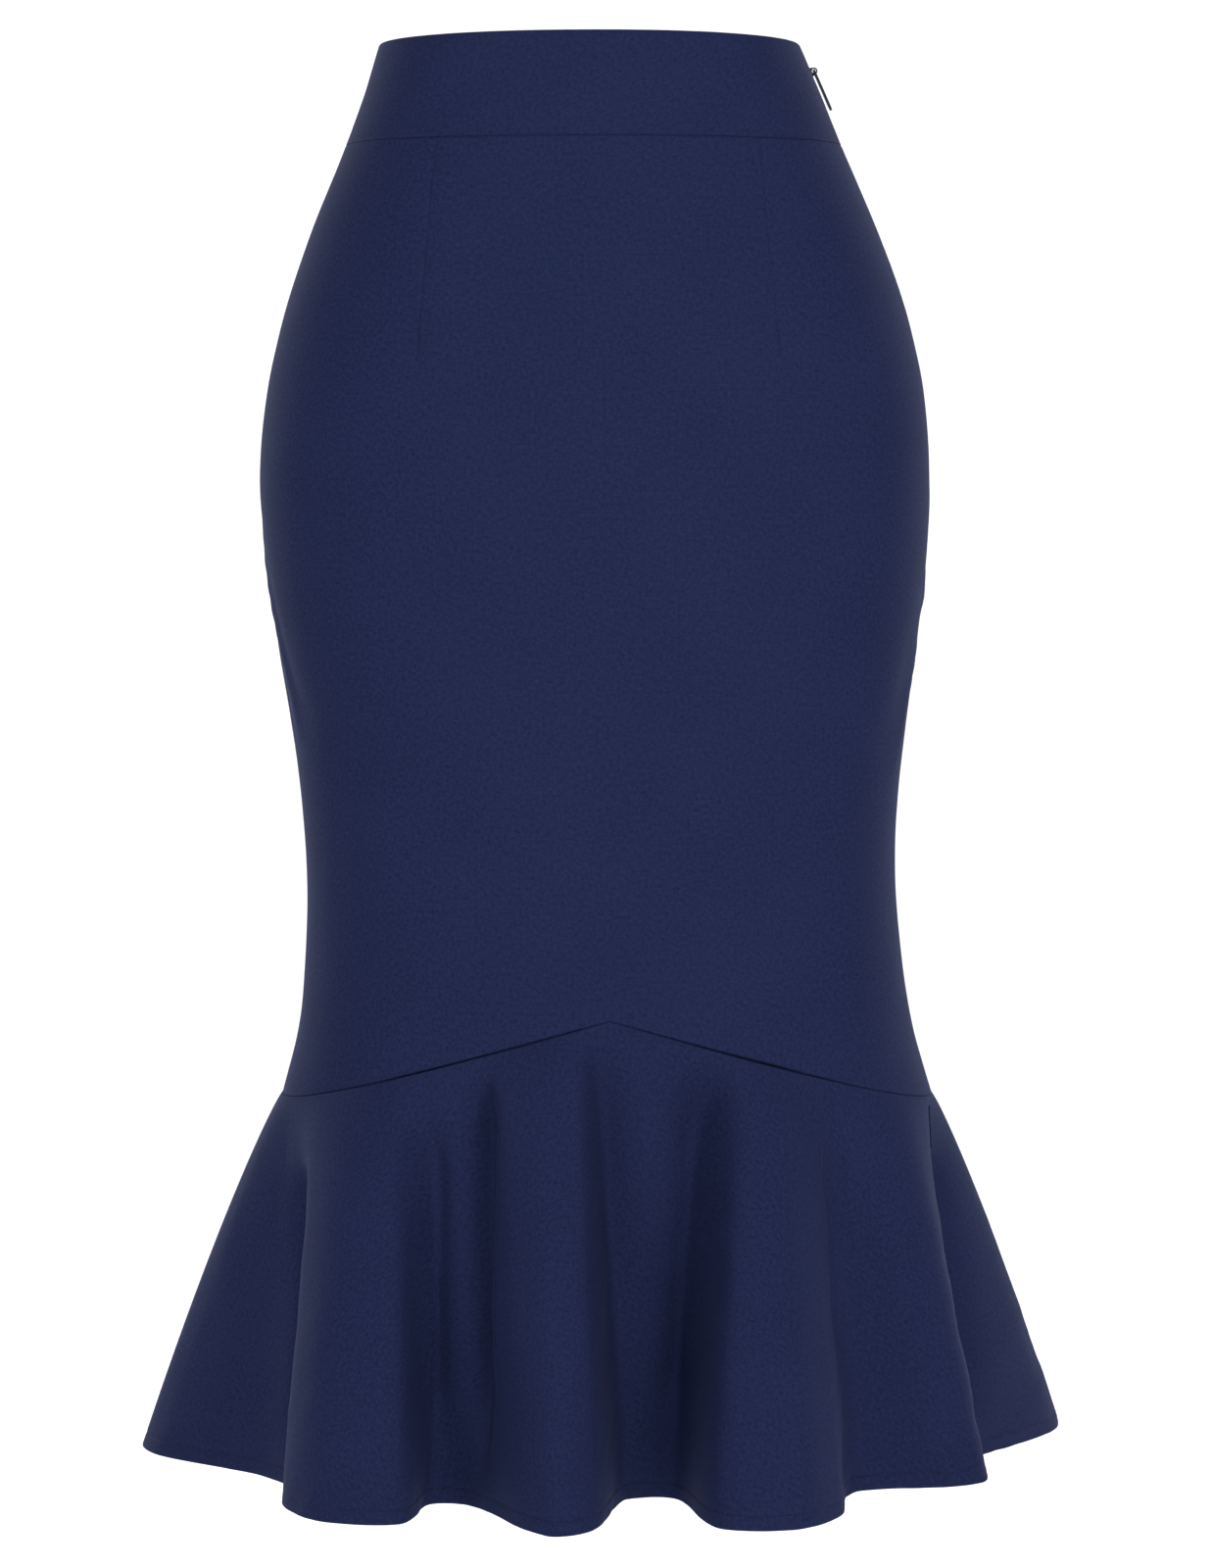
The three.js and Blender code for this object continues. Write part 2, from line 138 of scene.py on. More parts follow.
# Soft creases of the fitted part, each from one end to the other. A height above 0 is a ridge,
# and one below 0 is a trough.
BODY_CREASES = table(("direction", "drop", "end_direction", "end_drop", "width", "height"), [
    (-88, 240, -76, 356, 3.0, 1.4),
    (-92, 246, -80, 360, 2.6, -0.9),
    (88.5, 166, 86, 232, 3.0, -1.0),
    (87, 266, 85.5, 292, 2.4, 1.0),
    (-84, 262, -70, 360, 8, -0.8),
    (86, 300, 76, 372, 3.4, 1.1),
    (80, 290, 71, 368, 8, -0.7),
    (-62, 372, -12, 392, 16, 0.5),
    (66, 396, 20, 418, 18, 0.5),
    (-70, 430, -30, 452, 14, -0.5),
    (72, 448, 34, 470, 15, -0.5),
    (-40, 96, -14, 120, 18, 0.4),
    (38, 92, 16, 122, 18, 0.4),
    (108, 90, 150, 76, 9, 0.9),
    (112, 104, 158, 92, 9, -0.8),
    (252, 92, 206, 78, 9, 0.9),
    (246, 107, 200, 95, 9, -0.8),
    (128, 300, 172, 352, 20, 1.2),
    (236, 312, 190, 366, 20, 1.1),
    (118, 352, 160, 404, 18, -1.1),
    (244, 366, 204, 410, 18, -1.0),
    (126, 446, 168, 474, 14, 0.8),
    (232, 440, 196, 470, 14, 0.7),
    (98, 250, 106, 372, 9, 0.8),
    (262, 246, 252, 380, 9, 0.9),
])

# Troughs along the feet of the flounce's folds. Each follows one place of the cloth, counted in the folds'
# knots, between two shares of the way from the seam to the hem, with its own width on either side.
FLOUNCE_CREASES = table(("place", "start", "end", "before", "after", "depth"), [
    (5.15, 0.14, 1.05, 18, 6, 10.0),
    (8.9, 0.08, 0.95, 6, 9, 8.0),
    (11.15, 0.01, 0.98, 9, 6, 14.0),
    (14.8, 0.01, 0.75, 8, 12, 6.0),
    (17.15, 0.02, 0.98, 16, 6, 13.0),
    (20.8, 0.08, 0.8, 5, 12, 4.0),
    (28.2, 0.12, 1.0, 6, 20, 9.0),
    (35.2, 0.08, 0.85, 12, 6, 5.0),
    (38.8, 0.05, 0.75, 6, 10, 5.0),
    (41.2, 0.02, 0.85, 12, 6, 8.0),
    (44.8, 0.08, 0.7, 6, 10, 5.0),
    (47.2, 0.02, 0.8, 12, 6, 8.0),
    (50.8, 0.08, 0.75, 6, 11, 5.0),
    (53.2, 0.1, 0.85, 12, 6, 6.0),
    (56.8, 0.15, 0.75, 6, 12, 4.0),
])

# Mesh fineness: distances from a cut edge at which rows and columns stand close, and the step along the hem
EDGE_STEPS = (0, 0.15, 0.4, 0.75, 1.2, 1.9, 3.1)
DART_STEPS = (-3.4, -2.1, -1.2, -0.6, -0.25, 0, 0.25, 0.6, 1.2, 2.1, 3.4)
HEM_STEPS = (0, 0.4, 1.2, 2.6, 4.4, 5.5, 6.1, 6.5, 6.9, 7.5, 8.6, 9.6, 10.4)
HEM_STEP = 3.0


def smooth_curve(places, values):
    """A smooth function through the values, whose slope at each place is the mean of those on both sides."""
    places, values = np.array(places, float), np.array(values, float)
    secants = np.diff(values) / np.diff(places)
    slopes = np.concatenate([secants[:1], (secants[1:] + secants[:-1]) / 2, secants[-1:]])

    def at(q):
        i = np.clip(np.searchsorted(places, q, side="right") - 1, 0, len(places) - 2)
        span = places[i + 1] - places[i]
        t = (q - places[i]) / span
        ends = (1 + 2 * t) * (1 - t) ** 2 * values[i] + t * t * (3 - 2 * t) * values[i + 1]
        return ends + span * (t * (1 - t) ** 2 * slopes[i] + t * t * (t - 1) * slopes[i + 1])

    return at


HEIGHTS = [row["height"] for row in SECTIONS]
SECTION_CURVES = {side: smooth_curve(HEIGHTS, [row[side] for row in SECTIONS]) for side in SIDES}


def lerp(a, b, share):
    return a + (b - a) * share


def smooth_step(low, high, value):
    t = np.clip((value - low) / (high - low), 0, 1)
    return t * t * (3 - 2 * t)


def oval_point(directions, sizes, squareness, z):
    """Points of a rounded oval that has its own half size on each of the four sides."""
    across, forward = np.sin(np.radians(directions)), np.cos(np.radians(directions))
    half_width = np.where(across < 0, sizes["left"], sizes["right"])
    half_depth = np.where(forward > 0, sizes["front"], sizes["back"])
    total = np.abs(across / half_width) ** squareness + np.abs(forward / half_depth) ** squareness
    radius = total ** (-1 / squareness)
    return np.stack(np.broadcast_arrays(radius * across, -radius * forward, z), -1)


def body_point(directions, z):
    sizes = {side: SECTION_CURVES[side](z) for side in SIDES}
    return oval_point(directions, sizes, SQUARENESS, z)


def direction_of(x, facing, z):
    """The direction in which the front (facing 1) or the back (facing -1) has this x."""
    half_width = np.where(x < 0, SECTION_CURVES["left"](z), SECTION_CURVES["right"](z))
    half_depth = SECTION_CURVES["front" if facing > 0 else "back"](z)
    depth = half_depth * (1 - np.abs(x / half_width) ** SQUARENESS) ** (1 / SQUARENESS)
    directions = np.degrees(np.arctan2(x, facing * depth))
    return np.where((facing < 0) & (directions < 0), directions + 360, directions)


APEX_DIRECTION = float(direction_of(APEX_ASIDE, 1, -APEX_DROP))


def seam_height(directions):
    """The height of the seam that carries the flounce: a chevron in front, level behind."""
    directions = np.asarray(directions, float)
    left_of_apex = np.sin(np.radians(directions)) < math.sin(math.radians(APEX_DIRECTION))
    side = body_point(np.where(left_of_apex, -90, 90), -SIDE_SEAM_DROP)[..., 0]
    share = np.ones_like(directions)
    for _ in range(8):
        x = body_point(directions, -lerp(APEX_DROP, SIDE_SEAM_DROP, share))[..., 0]
        share = np.clip((x - APEX_ASIDE) / (side - APEX_ASIDE), 0, 1)
    behind = np.cos(np.radians(directions)) < 0
    return np.where(behind, -SIDE_SEAM_DROP, -lerp(APEX_DROP, SIDE_SEAM_DROP, share))


def spread(anchors, steps):
    """The anchors, with even steps from each to the next."""
    parts = [anchors[0][None]]
    for start, end, count in zip(anchors, anchors[1:], steps):
        shares = np.arange(1, count + 1).reshape(-1, *[1] * start.ndim) / count
        parts.append(lerp(start, end, shares))
    return np.concatenate(parts)


def lattice_noise(x, y, cell, seed):
    """Smooth noise from -1 to 1 with bumps about one cell wide."""
    values = np.random.default_rng(seed).uniform(-1, 1, (64, 64))
    u, v = x / cell, y / cell
    i, j = np.floor(u).astype(int), np.floor(v).astype(int)
    fu, fv = smooth_step(0, 1, u - i), smooth_step(0, 1, v - j)
    low = lerp(values[i % 64, j % 64], values[(i + 1) % 64, j % 64], fu)
    high = lerp(values[i % 64, (j + 1) % 64], values[(i + 1) % 64, (j + 1) % 64], fu)
    return lerp(low, high, fv)


def grid_normals(grid):
    down = np.gradient(grid, axis=0)
    along = np.gradient(grid, axis=1)
    return unit(np.cross(down, along))


def crease_height(x, y, start, end, width, height):
    """A soft uneven ridge or trough from start to end, on a surface with flat coordinates x and y."""
    line = np.subtract(end, start)
    length = np.hypot(*line)
    along = ((x - start[0]) * line[0] + (y - start[1]) * line[1]) / length**2
    across = ((x - start[0]) * line[1] - (y - start[1]) * line[0]) / length
    across = across + 0.35 * width * np.sin(5.3 * along + start[0])
    spindle = np.clip(4 * along * (1 - along), 0, 1) ** 0.8
    q = across / width
    return height * spindle * np.exp(-q * q) * (1 - 0.45 * q)


def dart_x(dart, z):
    share = np.clip((-z - BAND_HEIGHT) / (dart["tip_drop"] - BAND_HEIGHT), 0, 1)
    return lerp(dart["x_top"], dart["x_tip"], share)


def edge_roll(distance):
    """How far the cloth turns in towards a seam at this distance from it."""
    q = np.clip(distance / ROLL_WIDTH, 0, 1)
    return ROLL_DEPTH * (1 - np.sqrt(1 - (1 - q) ** 2))


def edge_distances(grid):
    """The distance of each point from the grid's first and last column, and from its first and last row."""
    return (
        np.linalg.norm(grid - grid[:, :1], axis=-1),
        np.linalg.norm(grid - grid[:, -1:], axis=-1),
        np.linalg.norm(grid - grid[:1], axis=-1),
        np.linalg.norm(grid - grid[-1:], axis=-1),
    )


def rolled_edges(grid, top=1, bottom=1):
    """How far a piece turns in at its four edges. A share of 0 leaves the top or bottom edge flat."""
    shares = (1, 1, top, bottom)
    return np.max([share * edge_roll(d) for share, d in zip(shares, edge_distances(grid))], axis=0)


def arc_across(grid):
    """How far along its row each point lies from the row's first point."""
    steps = np.linalg.norm(np.diff(grid, axis=1), axis=-1)
    return np.pad(np.cumsum(steps, axis=1), ((0, 0), (1, 0)))


def arc_down(grid):
    steps = np.linalg.norm(np.diff(grid, axis=0), axis=-1)
    return np.pad(np.cumsum(steps, axis=0), ((1, 0), (0, 0)))


def grid_area(grid):
    along = np.diff(grid, axis=1)[:-1]
    down = np.diff(grid, axis=0)[:, :-1]
    return float(np.linalg.norm(np.cross(along, down), axis=-1).sum())


def mesh_object(name, points, faces, material, uvs=None, sharp_degrees=50):
    """A mesh in metres from points in millimetres. UVs are flat coordinates in metres."""
    mesh = bpy.data.meshes.new(name)
    mesh.from_pydata((points * MM).tolist(), [], faces)
    if uvs is not None:
        corners = np.empty(len(mesh.loops), np.int32)
        mesh.loops.foreach_get("vertex_index", corners)
        layer = mesh.uv_layers.new(name="Cut")
        layer.data.foreach_set("uv", (uvs[corners] * MM).astype(np.float32).ravel())
    mesh.shade_smooth()
    mesh.set_sharp_from_angle(angle=math.radians(sharp_degrees))
    mesh.materials.append(material)
    obj = bpy.data.objects.new(name, mesh)
    bpy.context.scene.collection.objects.link(obj)
    return obj


def unit(vectors):
    return vectors / np.linalg.norm(vectors, axis=-1, keepdims=True)


def edge_arc(outer, normals, thickness, outward, from_outer):
    """The half round between the two faces along a cut edge."""
    angles = np.radians([45, 90, 135])
    middle = outer - normals * thickness[:, None] / 2
    arcs = [
        middle + (normals * math.cos(a) + outward * math.sin(a)) * thickness[:, None] / 2
        for a in (angles if from_outer else angles[::-1])
    ]
    return np.stack(arcs)


def shell_faces(rows, columns, arc):
    """The faces of a closed shell: rings down the outer face and up the inner one, side by side."""
    ring = 2 * rows + 2 * arc
    index = np.arange(ring * columns).reshape(ring, columns)
    upper, lower = index, np.roll(index, -1, axis=0)
    quads = np.stack([upper[:, :-1], lower[:, :-1], lower[:, 1:], upper[:, 1:]], -1)
    faces = quads.reshape(-1, 4).tolist()
    for column, turned in ((0, False), (columns - 1, True)):
        loop = index[:, column]
        outer, inner = loop[:rows], loop[rows + arc:2 * rows + arc][::-1]
        bottom, top = loop[rows:rows + arc], loop[2 * rows + arc:]
        caps = [[outer[i], inner[i], inner[i + 1], outer[i + 1]] for i in range(rows - 1)]
        caps.append([outer[-1], inner[-1], *bottom[::-1]])
        caps.append([inner[0], outer[0], *top[::-1]])
        faces += [[int(v) for v in (cap[::-1] if turned else cap)] for cap in caps]
    return faces


def cloth_shell(name, grid, relief, thickness, flat, material, normals=None):
    """A closed thin shell. The grid is its outer face without the relief. The inner face has no relief."""
    if normals is None:
        normals = grid_normals(grid)
    outer = grid + normals * relief[..., None]
    inner = grid - normals * thickness[..., None]
    edge = thickness + relief
    up = unit(grid[0] - grid[1])
    down = unit(grid[-1] - grid[-2])
    bottom_arc = edge_arc(outer[-1], normals[-1], edge[-1], down, True)
    top_arc = edge_arc(outer[0], normals[0], edge[0], up, False)
    rings = np.concatenate([outer, bottom_arc, inner[::-1], top_arc])
    arc = len(bottom_arc)
    uvs = np.concatenate([
        flat, np.repeat(flat[-1:], arc, 0), flat[::-1], np.repeat(flat[:1], arc, 0),
    ])
    faces = shell_faces(len(grid), grid.shape[1], arc)
    return mesh_object(name, rings.reshape(-1, 3), faces, material, uvs.reshape(-1, 2))


def column_anchors(panel, z):
    """The directions of a panel's main columns at these heights, and the steps between them."""
    facing = 1 if panel == "front" else -1
    start = -90 if panel == "front" else 90
    middle = APEX_DIRECTION if panel == "front" else 180
    zip_open = HALF_GAP + (HALF_PARTING - HALF_GAP) * smooth_step(-ZIP_LENGTH - 4, -ZIP_LENGTH + 4, z)
    first_gap = zip_open if panel == "back" else HALF_GAP
    last_gap = zip_open if panel == "front" else HALF_GAP
    first_side, last_side = ("left", "right") if panel == "front" else ("right", "left")
    first = [start + np.degrees((first_gap + s) / SECTION_CURVES[first_side](z)) for s in EDGE_STEPS]
    last = [start + 180 - np.degrees((last_gap + s) / SECTION_CURVES[last_side](z)) for s in EDGE_STEPS[::-1]]
    darts = [
        [direction_of(dart_x(dart, z) + facing * s, facing, z) for s in DART_STEPS]
        for dart in DARTS if dart["panel"] == panel
    ]
    anchors = [*first, *darts[0], middle + 0 * z, *darts[1], *last]
    close = [1] * (len(EDGE_STEPS) - 1)
    dart_close = [1] * (len(DART_STEPS) - 1)
    steps = [*close, 32, *dart_close, 30, 30, *dart_close, 32, *close]
    return anchors, steps


def row_shares(length, middle_steps, lower=EDGE_STEPS):
    """The rows of a piece as shares of its length, close together at both edges."""
    anchors = [(HALF_GAP + s) / length for s in EDGE_STEPS]
    anchors += [1 - (HALF_GAP + s) / length for s in lower[::-1]]
    steps = [1] * (len(EDGE_STEPS) - 1) + [middle_steps] + [1] * (len(lower) - 1)
    return spread(anchors, steps)


def body_softness(directions, z):
    """The fitted part's creases and slight unevenness, which fade out at its seams."""
    around = directions * MM_PER_DEGREE
    height = 0.28 * lattice_noise(around + 900, -z, 46, 3) + 0.12 * lattice_noise(around + 900, -z, 19, 4)
    for crease in BODY_CREASES:
        for turn in (0, -360, 360):
            height = height + crease_height(
                around, -z,
                ((crease["direction"] + turn) * MM_PER_DEGREE, crease["drop"]),
                ((crease["end_direction"] + turn) * MM_PER_DEGREE, crease["end_drop"]),
                crease["width"], crease["height"],
            )
    return height


def dart_relief(points, panel):
    """A dart: a sharp narrow line in a soft valley, with a dimple at its tip."""
    relief = np.zeros(points.shape[:2])
    for dart in (d for d in DARTS if d["panel"] == panel):
        offset = points[..., 0] - dart_x(dart, points[..., 2])
        fade = smooth_step(-dart["tip_drop"] - 1, -dart["tip_drop"] + 6, points[..., 2])
        line = np.clip(1 - np.abs(offset) / DART_LINE, 0, 1) ** 1.5
        near_tip = np.exp(-((points[..., 2] + dart["tip_drop"] - 5) / 9) ** 2)
        relief -= (0.5 + 0.5 * near_tip) * line * fade
    return relief


def dart_valleys(points, panel):
    height = np.zeros(points.shape[:2])
    for dart in (d for d in DARTS if d["panel"] == panel):
        offset = points[..., 0] - dart_x(dart, points[..., 2])
        fade = smooth_step(-dart["tip_drop"] - 6, -dart["tip_drop"] + 30, points[..., 2])
        height -= 0.35 * np.exp(-(offset / 4.5) ** 2) * fade
        below = (points[..., 2] + dart["tip_drop"]) / 9
        height -= 0.45 * np.exp(-(offset / 5) ** 2 - below**2)
    return height


def cut_size(grid, allowance):
    """What a piece is cut to, in metres: its net size and area with the allowance all round."""
    width = float(arc_across(grid)[:, -1].max())
    length = float(arc_down(grid)[-1].max())
    edge = 2 * (width + length)
    area = grid_area(grid) + edge * allowance
    size = (width + 2 * allowance, length + 2 * allowance)
    return [side * MM for side in size], min(area * MM * MM, size[0] * size[1] * MM * MM)


def body_panel(name, panel, material):
    anchors, steps = column_anchors(panel, np.array([-SIDE_SEAM_DROP * 1.0]))
    bottoms = seam_height(spread(anchors, steps)[:, 0])
    shares = row_shares(-BAND_HEIGHT - bottoms, 150)
    z = lerp(-BAND_HEIGHT, bottoms, shares)
    directions = np.empty_like(z)
    for column in range(z.shape[1]):
        anchors, steps = column_anchors(panel, z[:, column])
        directions[:, column] = spread(anchors, steps)[column]
    base = body_point(directions, z)
    distances = edge_distances(base)
    calm = np.prod([smooth_step(0, 22, d) for d in distances[2:]], axis=0)
    calm = calm * np.prod([smooth_step(0, 5, d) for d in distances[:2]], axis=0)
    height = body_softness(directions, z) * calm + dart_valleys(base, panel) * smooth_step(0, 4, distances[2])
    grid = base + grid_normals(base) * height[..., None]
    relief = dart_relief(base, panel) - rolled_edges(base, bottom=CHEVRON_ROLL)
    relief = np.maximum(relief, -DART_DEPTH)
    across = arc_across(base)
    middle = across[:, across.shape[1] // 2][:, None]
    flat = np.stack([across - middle, z], -1)
    obj = cloth_shell(name, grid, relief, np.full(z.shape, CLOTH), flat, material)
    return obj, grid


def waistband_piece(name, start, material):
    z0 = np.zeros(1)
    first_gap = HALF_PARTING if start == 90 else HALF_GAP
    last_gap = HALF_PARTING if start == -90 else HALF_GAP
    first = [start + np.degrees((first_gap + s) / WAIST_RADIUS) + z0 for s in EDGE_STEPS]
    last = [start + 180 - np.degrees((last_gap + s) / WAIST_RADIUS) + z0 for s in EDGE_STEPS[::-1]]
    close = [1] * (len(EDGE_STEPS) - 1)
    directions = spread([*first, *last], [*close, 130, *close])[:, 0]
    top = WAIST_RISE * np.maximum(0, np.cos(np.radians(directions)))
    z = lerp(top, -BAND_HEIGHT, row_shares(top + BAND_HEIGHT, 20))
    directions = np.broadcast_to(directions, z.shape)
    base = body_point(directions, z)
    distances = edge_distances(base)
    calm = smooth_step(0, 12, distances[3]) * smooth_step(0, 8, distances[2])
    height = 0.16 * lattice_noise(directions * 2.1 + 700, -z, 17, 8) * calm
    grid = base + grid_normals(base) * height[..., None]
    relief = -rolled_edges(base, top=0, bottom=WAIST_ROLL)
    flat = np.stack([arc_across(base), z], -1)
    obj = cloth_shell(name, grid, relief, np.full(z.shape, BAND_CLOTH), flat, material)
    return obj, grid


def fold_knots():
    """Six knots for each fold: the crest between its shoulders, then the hollow between its shoulders.
    Each is a direction and reach at the hem, and a direction at the seam."""
    knots = []
    for i, fold in enumerate(FOLDS):
        next_rise = FOLDS[i + 1]["rise_seam"] if i + 1 < len(FOLDS) else FOLDS[0]["rise_seam"] + 360
        crest_reach = fold["reach"] - fold["shoulder"]
        hollow_reach = fold["hollow_reach"] + fold["shoulder"] * HOLLOW_ROUNDING
        rise, fall = fold["rise_seam"], fold["fall_seam"]
        knots += [
            (fold["crest"] - fold["half"], crest_reach, rise + FLANK_HALF),
            (fold["crest"], fold["reach"], lerp(rise, fall, 0.5)),
            (fold["crest"] + fold["half"], crest_reach, fall - FLANK_HALF),
            (fold["hollow"] - fold["hollow_half"], hollow_reach, fall + FLANK_HALF),
            (fold["hollow"], fold["hollow_reach"], lerp(fall, next_rise, 0.5)),
            (fold["hollow"] + fold["hollow_half"], hollow_reach, next_rise - FLANK_HALF),
        ]
    return np.array(knots, float)


KNOTS = fold_knots()
KNOT_COUNT = len(KNOTS)


def seam_direction_curve():
    places = np.arange(2 * KNOT_COUNT + 1) - KNOT_COUNT // 2
    values = KNOTS[places % KNOT_COUNT, 2] + 360 * (places // KNOT_COUNT)
    return smooth_curve(places, values)


SEAM_DIRECTION = seam_direction_curve()


def hem_point(places):
    """The hem's closed curve through the knots, seen from above, with places counted in knots."""
    plan = np.stack([
        KNOTS[:, 1] * np.sin(np.radians(KNOTS[:, 0])),
        -KNOTS[:, 1] * np.cos(np.radians(KNOTS[:, 0])),
    ], -1)
    i = np.floor(places).astype(int)
    t = (places - i)[..., None]
    before, start, end, after = (plan[(i + k) % KNOT_COUNT] for k in (-1, 0, 1, 2))

    def stretch(a, b):
        return np.sqrt(np.linalg.norm(b - a, axis=-1, keepdims=True))

    d0, d1, d2 = stretch(before, start), stretch(start, end), stretch(end, after)
    slope = d1 * ((start - before) / d0 - (end - before) / (d0 + d1)) + end - start
    end_slope = end - start - d1 * ((after - start) / (d1 + d2) - (after - end) / d2)
    ends = (1 + 2 * t) * (1 - t) ** 2 * start + t * t * (3 - 2 * t) * end
    return ends + t * (1 - t) ** 2 * slope + t * t * (t - 1) * end_slope


def flounce_point(top, hem, share):
    """The flounce hangs between the body's edge and the hem curve, and its folds grow downwards."""
    direction = np.degrees(np.arctan2(hem[..., 0], -hem[..., 1]))
    smooth = oval_point(direction, HEM_OVAL, HEM_SQUARENESS, 0)[..., :2]
    flare = (share * (1 + FLARE_BULGE * (1 - share)))[..., None]
    fold = (share**FOLD_ONSET)[..., None]
    plan = top[..., :2] + (smooth - top[..., :2]) * flare + (hem - smooth) * fold
    return np.concatenate([plan, lerp(top[..., 2], -LENGTH, share)[..., None]], -1)


def flounce_places(first, last, step):
    """Places along the hem about one step apart, closer at both ends, with one at the chevron's corner."""
    dense = np.linspace(first, last, 6001)
    hem = hem_point(dense)
    along = np.pad(np.cumsum(np.linalg.norm(np.diff(hem, axis=0), axis=-1)), (1, 0))
    start = [HALF_GAP + s for s in EDGE_STEPS]
    end = [along[-1] - HALF_GAP - s for s in EDGE_STEPS[::-1]]
    seam = SEAM_DIRECTION(dense)
    corner = []
    if seam[0] < APEX_DIRECTION < seam[-1]:
        corner = [np.interp(APEX_DIRECTION, seam, along)]
    anchors = np.array([*start, *corner, *end])
    counts = np.maximum(1, np.round(np.diff(anchors) / step)).astype(int)
    return np.interp(spread(anchors, counts), along, dense), along[-1]


def flounce_softness(across, down, share):
    """Slight unevenness that grows towards the hem, with small ripples along the hem's edge."""
    growth = smooth_step(0.02, 0.5, share)
    height = growth * (0.9 * lattice_noise(across, down, 38, 11) + 0.35 * lattice_noise(across, down, 15, 12))
    near_hem = smooth_step(0.86, 1, share)
    return height + near_hem * 0.4 * lattice_noise(across, 0 * down, 10, 13)


def flounce_troughs(places, across, down, share):
    """The depth of the troughs at each point. They start and end softly and are a little uneven."""
    depth = np.zeros_like(down)
    for crease in FLOUNCE_CREASES:
        if not places[0] < crease["place"] < places[-1]:
            continue
        column = np.searchsorted(places, crease["place"])
        middle = across[:, column, None]
        width = np.where(across < middle, crease["before"], crease["after"])
        width = width * (1 + 0.25 * lattice_noise(middle, down, 60, 21))
        start, end = crease["start"], crease["end"]
        length = smooth_step(start, start + 0.16, share) * smooth_step(end, end - 0.3, share)
        depth += crease["depth"] * length * np.exp(-((across - middle) / width) ** 2)
    return depth


def body_normals(directions, z):
    """The outward directions of the fitted form."""
    across = body_point(directions + 0.1, z) - body_point(directions - 0.1, z)
    down = body_point(directions, z - 0.5) - body_point(directions, z + 0.5)
    return unit(np.cross(down, across))


def flounce_piece(name, first, last, material):
    places, hem_length = flounce_places(first, last, HEM_STEP)
    directions = SEAM_DIRECTION(places)
    top = body_point(directions, seam_height(directions))
    hem = hem_point(places)
    length = np.linalg.norm(np.column_stack([hem, np.full(len(hem), -LENGTH)]) - top, axis=-1)
    shares = row_shares(length, 66, HEM_STEPS)
    base = flounce_point(top, hem, shares)
    distances = edge_distances(base)
    down = arc_down(base)
    across = arc_across(base)
    calm = np.prod([smooth_step(0, 30, d) for d in distances[:2]], axis=0)
    base[..., :2] -= unit(base[..., :2]) * (flounce_troughs(places, across, down, shares) * calm)[..., None]
    height = flounce_softness(across + first * 50, down, shares) * calm
    grid = base + grid_normals(base) * height[..., None]
    above_hem = distances[3]
    stitch_dip = 0.22 * np.exp(-((above_hem - HEM_STITCH) / 0.9) ** 2)
    relief = -rolled_edges(base, top=CHEVRON_ROLL, bottom=0) - stitch_dip
    thickness = CLOTH + HEM_THICKNESS * smooth_step(HEM_TURN + 0.5, HEM_TURN - 0.3, above_hem)
    seam_length = arc_across(base)[0, -1]
    sweep = (hem_length - seam_length) / length.mean()
    inner_radius = seam_length / sweep
    turn = (across / across[:, -1:] - 0.5) * sweep
    radius = inner_radius + down
    flat = np.stack([radius * np.sin(turn), -radius * np.cos(turn)], -1)
    seam_normals = body_normals(directions, top[:, 2])
    normals = unit(lerp(seam_normals, grid_normals(grid), smooth_step(1, 6, distances[2])[..., None]))
    obj = cloth_shell(name, grid, relief, thickness, flat, material, normals)
    facts = {"seam": seam_length, "hem": hem_length, "length": float(length.mean()), "sweep": sweep}
    return obj, grid, facts


def frames_along(points, normals):
    """Unit tangents, normals and sideways directions along a line of points."""
    tangents = unit(np.gradient(points, axis=0))
    sideways = unit(np.cross(normals, tangents))
    return tangents, unit(np.cross(tangents, sideways)), sideways


def capsule(sides, rings, bend):
    """A small bar along X from -1 to 1, about 1 thick in Y and Z, whose ends dip by bend."""
    angles = np.arange(sides) * 2 * math.pi / sides
    points = []
    for x in np.linspace(-1, 1, rings):
        girth = math.sqrt(max(0.12, 1 - x**4))
        for a in angles:
            points.append((x, girth * math.cos(a), girth * math.sin(a) - bend * x * x))
    faces = []
    for r in range(rings - 1):
        for k in range(sides):
            a, b = r * sides + k, r * sides + (k + 1) % sides
            faces.append((a, b, b + sides, a + sides))
    last = (rings - 1) * sides
    faces.append(tuple(range(sides))[::-1])
    faces.append(tuple(last + k for k in range(sides)))
    return np.array(points), faces


def repeated(name, shape, centres, axes, scale, material):
    """Copies of one small shape, each with its own centre and axes, joined in one mesh."""
    points, faces = shape
    local = points * np.array(scale)
    placed = centres[:, None] + np.einsum("kd,nde->nke", local, axes)
    all_faces = []
    for copy in range(len(centres)):
        start = copy * len(points)
        all_faces += [[start + v for v in face] for face in faces]
    return mesh_object(name, placed.reshape(-1, 3), all_faces, material, sharp_degrees=80)


def points_along(line, normals, pitch, margin):
    """Evenly spaced points on a line, with the line's normals there."""
    along = np.pad(np.cumsum(np.linalg.norm(np.diff(line, axis=0), axis=-1)), (1, 0))
    count = int((along[-1] - 2 * margin) // pitch)
    at = margin + (along[-1] - 2 * margin - count * pitch) / 2 + pitch * (np.arange(count) + 0.5)
    points = np.stack([np.interp(at, along, line[:, k]) for k in range(3)], -1)
    return points, unit(np.stack([np.interp(at, along, normals[:, k]) for k in range(3)], -1))


